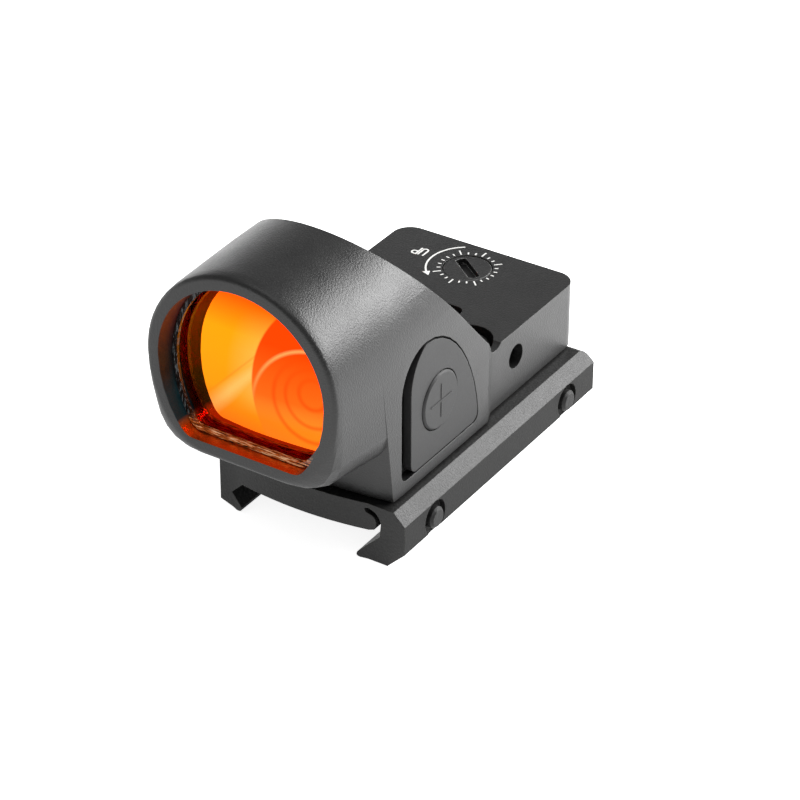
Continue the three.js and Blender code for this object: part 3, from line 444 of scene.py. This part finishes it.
def coating_with_painted_view(shader):
    """The coating's colour with painted light and shade: the faint ghost of the tunnel's edge and
    the battery cap seen through the lens, a pale haze and a streak.
    """
    place = shader.split(shader.place)
    across = shader.times(place["X"], 1 / MM)
    up = shader.times(shader.calc("SUBTRACT", place["Z"], HOOD_Z), 1 / MM)

    def distance(x, z):
        """How far the place is from a point of the lens."""
        return shader.length(shader.calc("SUBTRACT", across, x), shader.calc("SUBTRACT", up, z))

    def band(value, half, strength, core=0.0):
        """Full strength up to core either side of zero, and nothing from half on."""
        return shader.ramp(shader.calc("ABSOLUTE", value), core, half, strength, 0.0)

    def ring(x, z, radius, half, strength):
        """A soft circle, strongest at its radius."""
        return band(shader.calc("SUBTRACT", distance(x, z), radius), half, strength)

    edge_x, edge_z, edge_radius, edge_half = TUNNEL_EDGE
    from_centre = distance(edge_x, edge_z)
    inside = shader.ramp(from_centre, edge_radius - edge_half, edge_radius + edge_half, 1.0, 0.0)
    # Painted pale light along the outside of the tunnel's edge.
    haze = shader.times(
        shader.ramp(from_centre, edge_radius, edge_radius + HAZE_WIDTH, HAZE_STRENGTH, 0.0),
        shader.ramp(up, *HAZE_TOP_FADE), shader.ramp(up, *HAZE_LOW_FADE))

    streak_x, streak_z, streak_angle, streak_half = STREAK
    slope = math.radians(streak_angle)
    beside = shader.calc(
        "ADD", shader.times(shader.calc("SUBTRACT", across, streak_x), -math.sin(slope)),
        shader.times(shader.calc("SUBTRACT", up, streak_z), math.cos(slope)))
    reach = shader.ramp(across, *STREAK_REACH)
    streak = shader.times(band(beside, streak_half, STREAK_STRENGTH, STREAK_CORE), reach)
    beside_line = shader.calc("SUBTRACT", beside, streak_half)
    line = shader.times(band(beside_line, LINE_HALF, LINE_STRENGTH), reach)

    left = shader.mix(shader.ramp(up, *LEFT_TOP_FADE), COATING_AND_PAINTED_LIGHT["left"], COATING_AND_PAINTED_LIGHT["left_top"])
    left = shader.mix(shader.ramp(up, *LEFT_LOW_FADE), left, COATING_AND_PAINTED_LIGHT["left_low"])
    left = shader.mix(shader.calc("MAXIMUM", haze, streak), left, COATING_AND_PAINTED_LIGHT["pale"])
    left = shader.mix(line, left, COATING_AND_PAINTED_LIGHT["right_low"])
    right = shader.mix(shader.ramp(up, *RIGHT_LOW_FADE), COATING_AND_PAINTED_LIGHT["right_top"],
                       COATING_AND_PAINTED_LIGHT["right_low"])
    # Inside the tunnel's edge, a painted view of the tunnel.
    colour = shader.mix(shader.times(inside, shader.ramp(up, *TUNNEL_FADE)), left, right)
    # A painted glint on the battery cap's rim, and painted shade along its rings.
    rim = shader.times(ring(*CAP_RIM, 1.0), shader.ramp(up, *RIM_FADE), inside)
    colour = shader.mix(rim, colour, COATING_AND_PAINTED_LIGHT["pale"])
    for circle in CAP_RINGS:
        shade = shader.times(ring(*circle, RING_STRENGTH), shader.ramp(up, *RING_FADE), inside)
        colour = shader.mix(shade, colour, COATING_AND_PAINTED_LIGHT["right_top"])
    return colour


def coated_glass():
    """Glass whose dichroic coating mirrors amber and orange light and lets a little through, in
    colours that carry painted light and shade.
    """
    shader = Shader("coated_glass", IOR=1.52, Metallic=1.0)
    colour = coating_with_painted_view(shader)
    smear = shader.noise(COATED_SMEAR_SCALE, rough=0.6)
    shader.set(Base_Color=colour, Roughness=shader.ramp(smear, *NOISE_RANGE, *COATING_ROUGHNESS),
               Normal=shader.bump(smear, SMEAR_STRENGTH, SMEAR_DEPTH))
    through = shader.add("ShaderNodeBsdfTransparent", {"Color": colour})
    blend = shader.add("ShaderNodeMixShader", {1: shader.principled.outputs[0],
                                               2: through.outputs[0]}, Fac=COATING_THROUGH)
    output = shader.tree.nodes["Material Output"]
    shader.tree.links.new(blend.outputs[0], output.inputs["Surface"])
    return shader


def clear_glass():
    """Uncoated glass with a faint smear."""
    shader = Shader("clear_glass", IOR=1.5, Transmission_Weight=1.0)
    smear = shader.noise(CLEAR_SMEAR_SCALE, detail=3.0)
    shader.set(Roughness=shader.ramp(smear, *NOISE_RANGE, *CLEAR_ROUGHNESS),
               Base_Color=shader.mix(smear, *CLEAR_TINTS))
    return shader


# ---------------------------------------------------------------- who wears which material

LOOKS = {
    anodised_body: ("housing", "battery_cap", "bottom_plate"),
    anodised_dial: ("elevation_screw", "windage_screw"),
    anodised_mount: ("rail_clamp",),
    keypad_rubber: ("keypad_plus", "keypad_minus", "button_plus", "button_minus"),
    seal_rubber: ("battery_cap_o_ring", "elevation_o_ring", "windage_o_ring"),
    dark_steel: ("deck_screw_left", "deck_screw_right", "side_set_screw", "cross_bolt_front",
                 "cross_bolt_rear", "bolt_washer_front", "bolt_washer_rear", "emitter_block",
                 "elevation_spring"),
    bright_steel: ("battery", "snap_dome_plus", "snap_dome_minus"),
    gold_brass: ("battery_contact_low", "elevation_nut", "windage_slider", "emitter_led"),
    bond_adhesive(): ("lens_bond_bead",),
    board_laminate: ("circuit_board",),
    chip_plastic: ("control_chip",),
    clear_glass(): ("emitter_window",),
    coated_glass(): ("lens",),
}
for look, names in LOOKS.items():
    for name in names:
        mesh = nodes[name].data
        mesh.materials.clear()
        mesh.materials.append(look.material)

# ---------------------------------------------------------------- raised marks


def polar(radius, degrees):
    """A point at a radius and an angle, as (x, y)."""
    angle = math.radians(degrees)
    return (radius * math.cos(angle), radius * math.sin(angle))


def arc(centre, radius, start, end, steps):
    """Points from the start to the end angle, in degrees."""
    points = []
    for i in range(steps + 1):
        x, y = polar(radius, start + (end - start) * i / steps)
        points.append((centre[0] + x, centre[1] + y))
    return points


# At a sharp corner a ribbon is at most its width / LEAST_MITRE across.
LEAST_MITRE = 0.5


def ribbon(points, width):
    """Left and right edges of a line of even width through the points."""
    left, right = [], []
    for i, point in enumerate(points):
        here = Vector(point)
        before = Vector(points[max(i - 1, 0)])
        after = Vector(points[min(i + 1, len(points) - 1)])
        into = (here - before) if i > 0 else (after - here)
        out = (after - here) if i < len(points) - 1 else into
        into.normalize()
        out.normalize()
        along = (into + out).normalized()
        mitre = max(along.dot(into), LEAST_MITRE)
        side = Vector((-along.y, along.x)) * (width / 2) / mitre
        left.append(here + side)
        right.append(here - side)
    return left, right


def raised(name, strips, origin, across, up, proud, sunk, look, body):
    """Thin raised marks on a face: strips in mm, in the plane of across and up."""
    outward = across.cross(up)
    mesh = bpy.data.meshes.new(name)
    shape = bmesh.new()

    def corner(point, height):
        return shape.verts.new(origin + (across * point[0] + up * point[1] + outward * height) * MM)

    for left, right in strips:
        rows = [(corner(a, proud), corner(b, proud), corner(b, -sunk), corner(a, -sunk))
                for a, b in zip(left, right)]
        for one, two in zip(rows, rows[1:]):
            for i in range(4):
                j = (i + 1) % 4
                shape.faces.new((one[i], one[j], two[j], two[i]))
        shape.faces.new(rows[0][::-1])
        shape.faces.new(rows[-1])
    bmesh.ops.recalc_face_normals(shape, faces=shape.faces)
    shape.to_mesh(mesh)
    shape.free()
    piece = bpy.data.objects.new(name, mesh)
    bpy.context.scene.collection.objects.link(piece)
    mesh.materials.append(look.material)
    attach(piece, body)


# Marks are this proud of their face, in mm, and reach this far into it.
MARK_PROUD = 0.02
MARK_SUNK = 0.03

# The marks round the dial lie on the deck, which is just above the dial's top.
DECK_ABOVE_DIAL = 0.05 * MM
dial_low, dial_high = (Vector(corner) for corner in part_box("elevation_screw"))
dial_centre = (dial_low + dial_high) / 2
dial_centre.z = dial_high.z + DECK_ABOVE_DIAL

TICK_STEP = 15
TICK_INNER = 3.7
TICK_SHORT = 4.2
TICK_LONG = 4.85
TICK_LINE = 0.2
LONG_TICKS = (45, 90, 135, 225, 270, 315)
ARROW_R = 5.7
ARROW_START = 125
ARROW_END = 222
ARROW_TIP = ARROW_END + 11
ARROW_LINE = 0.26
ARROW_STEPS = 28
HEAD_HALF = 0.55
TIP_HALF = 0.02


def dial_scale():
    """Ticks all round the dial, and an arrow along part of it."""
    strips = []
    for degrees in range(0, 360, TICK_STEP):
        outer = TICK_LONG if degrees in LONG_TICKS else TICK_SHORT
        strips.append(ribbon([polar(TICK_INNER, degrees), polar(outer, degrees)], TICK_LINE))
    strips.append(ribbon(arc((0, 0), ARROW_R, ARROW_START, ARROW_END, ARROW_STEPS),
                         ARROW_LINE))
    strips.append([[Vector(polar(ARROW_R + side * HEAD_HALF, ARROW_END)),
                    Vector(polar(ARROW_R + side * TIP_HALF, ARROW_TIP))] for side in (1, -1)])
    raised("dial_scale", strips, dial_centre, X, Y, MARK_PROUD, MARK_SUNK, white_ink, "sight")


LETTER_WIDTH = 0.78
LETTER_HEIGHT = 1.85
LETTER_LINE = 0.24
BOWL_STEPS = 10
U_BOWL = LETTER_WIDTH / 2
P_BOWL = 0.39
# The letters' lower left corners from the dial's centre. They read from behind the sight.
U_SPOT = Vector((-6.95, 1.3, 0))
P_SPOT = Vector((-8.06, 1.3, 0))


def up_word():
    """The two letters beside the arrow."""
    letter_u = [(0, LETTER_HEIGHT), *arc((U_BOWL, U_BOWL), U_BOWL, 180, 360, BOWL_STEPS),
                (LETTER_WIDTH, LETTER_HEIGHT)]
    bowl_x = LETTER_WIDTH - P_BOWL
    bowl_y = LETTER_HEIGHT - P_BOWL
    letter_p = [(0, 0), (0, LETTER_HEIGHT),
                *arc((bowl_x, bowl_y), P_BOWL, 90, -90, BOWL_STEPS),
                (LETTER_LINE / 2, LETTER_HEIGHT - 2 * P_BOWL)]
    for name, letter, spot in (("mark_up_u", letter_u, U_SPOT), ("mark_up_p", letter_p, P_SPOT)):
        raised(name, [ribbon(letter, LETTER_LINE)], dial_centre + spot * MM, -X, -Y,
               MARK_PROUD, MARK_SUNK, white_ink, "sight")


CROSS_HALF = 2.45
CROSS_LINE = 0.2
# The upright line of the plus is in two strips that stop short of the level one.
CROSS_GAP = 0.28
RIDGE_PROUD = 0.07


def button_marks():
    """A raised plus on the right button and a minus on the left one."""
    for sign, side in (("plus", 1), ("minus", -1)):
        low, high = (Vector(corner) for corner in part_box("button_" + sign))
        middle = (low + high) / 2
        middle.x = high.x if side > 0 else low.x
        lines = [ribbon([(-CROSS_HALF, 0), (CROSS_HALF, 0)], CROSS_LINE)]
        if side > 0:
            for end in (-1, 1):
                lines.append(ribbon([(0, CROSS_GAP * end), (0, CROSS_HALF * end)], CROSS_LINE))
        raised("button_mark_" + sign, lines, middle, Y * side, Z, RIDGE_PROUD, MARK_SUNK,
               keypad_rubber, sign + "_button")


dial_scale()
up_word()
button_marks()

# ---------------------------------------------------------------- floor

FLOOR_HALF = 3.0
PAPER_SCALE = 160.0
PAPER_TINTS = ((0.86, 0.86, 0.86), (0.9, 0.9, 0.9))
# The floor is a lit table: brightest behind and to the right, along (GLOW_X, GLOW_Y), and
# dim again beyond its far edge. Two distances that way come with the glow's factor at each.
GLOW_X = 0.54
GLOW_Y = 0.84
NEAR_GLOW = (15 * MM, 90 * MM, 0.85, 1.75)
FAR_GLOW = (150 * MM, 230 * MM, 1.0, 0.15)


def floor():
    """A large white sheet under the clamp, which isn't part of the object."""
    mesh = bpy.data.meshes.new("floor")
    z = cad_bounds[0][2]
    corners = [(x * FLOOR_HALF, y * FLOOR_HALF, z) for x, y in ((-1, -1), (1, -1), (1, 1), (-1, 1))]
    mesh.from_pydata(corners, [], [(0, 1, 2, 3)])
    sweep = bpy.data.objects.new("floor", mesh)
    bpy.context.scene.collection.objects.link(sweep)
    shader = Shader("floor_white", Roughness=0.9, Emission_Color=(1, 1, 1, 1))
    paper = shader.noise(PAPER_SCALE, detail=3.0)
    place = shader.split(shader.place)
    behind = shader.calc("ADD", shader.times(place["X"], GLOW_X), shader.times(place["Y"], GLOW_Y))
    glow = shader.times(shader.ramp(behind, *NEAR_GLOW), shader.ramp(behind, *FAR_GLOW))
    shader.set(Base_Color=shader.mix(paper, *PAPER_TINTS),
               Emission_Strength=glow)
    mesh.materials.append(shader.material)


floor()

# ---------------------------------------------------------------- light

# The lights and the camera all look at this point.
AIM = Vector((0.00355, -0.00336, 0.00572))
WORLD_STRENGTH = 0.42


def softbox(name, direction, distance, width, height, radiance):
    """A rectangular softbox of even radiance that faces the object."""
    lamp = bpy.data.lights.new(name, "AREA")
    lamp.shape = "RECTANGLE"
    lamp.size = width
    lamp.size_y = height
    lamp.energy = radiance * math.pi * width * height
    holder = bpy.data.objects.new(name, lamp)
    toward = Vector(direction).normalized()
    holder.matrix_world = (Matrix.Translation(AIM + toward * distance)
                           @ toward.to_track_quat("Z", "Y").to_matrix().to_4x4())
    bpy.context.scene.collection.objects.link(holder)


def studio():
    """Even white surroundings, shown without a film curve."""
    world = bpy.data.worlds.new("studio")
    world.use_nodes = True
    backdrop = world.node_tree.nodes["Background"]
    backdrop.inputs["Color"].default_value = (1, 1, 1, 1)
    backdrop.inputs["Strength"].default_value = WORLD_STRENGTH
    bpy.context.scene.world = world
    bpy.context.scene.view_settings.view_transform = "Standard"


softbox("softbox_behind_right", direction=(0.55, 0.71, 0.45), distance=0.5, width=0.42,
        height=0.24, radiance=18.0)
softbox("softbox_behind_left", direction=(-0.68, 0.71, 0.10), distance=0.5, width=0.3,
        height=0.16, radiance=1.3)
softbox("softbox_overhead", direction=(0.0, -0.1, 1.0), distance=0.6, width=0.5, height=0.5,
        radiance=1.3)
studio()

# ---------------------------------------------------------------- camera

CAMERA_DISTANCE = 0.40495
CAMERA_AZIMUTH = math.radians(32.85)
CAMERA_ELEVATION = math.radians(32.27)
CAMERA_ROLL = math.radians(0.10)
CAMERA_LENS_MM = 138.4
CAMERA_SENSOR_MM = 36.0
CAMERA_NEAREST = 0.01


def photo_camera():
    """The view of the photograph, from the front right and above."""
    back = Vector((math.sin(CAMERA_AZIMUTH) * math.cos(CAMERA_ELEVATION),
                   -math.cos(CAMERA_AZIMUTH) * math.cos(CAMERA_ELEVATION),
                   math.sin(CAMERA_ELEVATION)))
    level = Vector((math.cos(CAMERA_AZIMUTH), math.sin(CAMERA_AZIMUTH), 0))
    upright = back.cross(level)
    right = level * math.cos(CAMERA_ROLL) + upright * math.sin(CAMERA_ROLL)
    up = upright * math.cos(CAMERA_ROLL) - level * math.sin(CAMERA_ROLL)
    data = bpy.data.cameras.new("photo_camera")
    data.lens = CAMERA_LENS_MM
    data.sensor_width = CAMERA_SENSOR_MM
    data.clip_start = CAMERA_NEAREST
    camera = bpy.data.objects.new("photo_camera", data)
    turn = Matrix((right, up, back)).transposed().to_4x4()
    camera.matrix_world = Matrix.Translation(AIM + back * CAMERA_DISTANCE) @ turn
    bpy.context.scene.collection.objects.link(camera)
    bpy.context.scene.camera = camera


photo_camera()
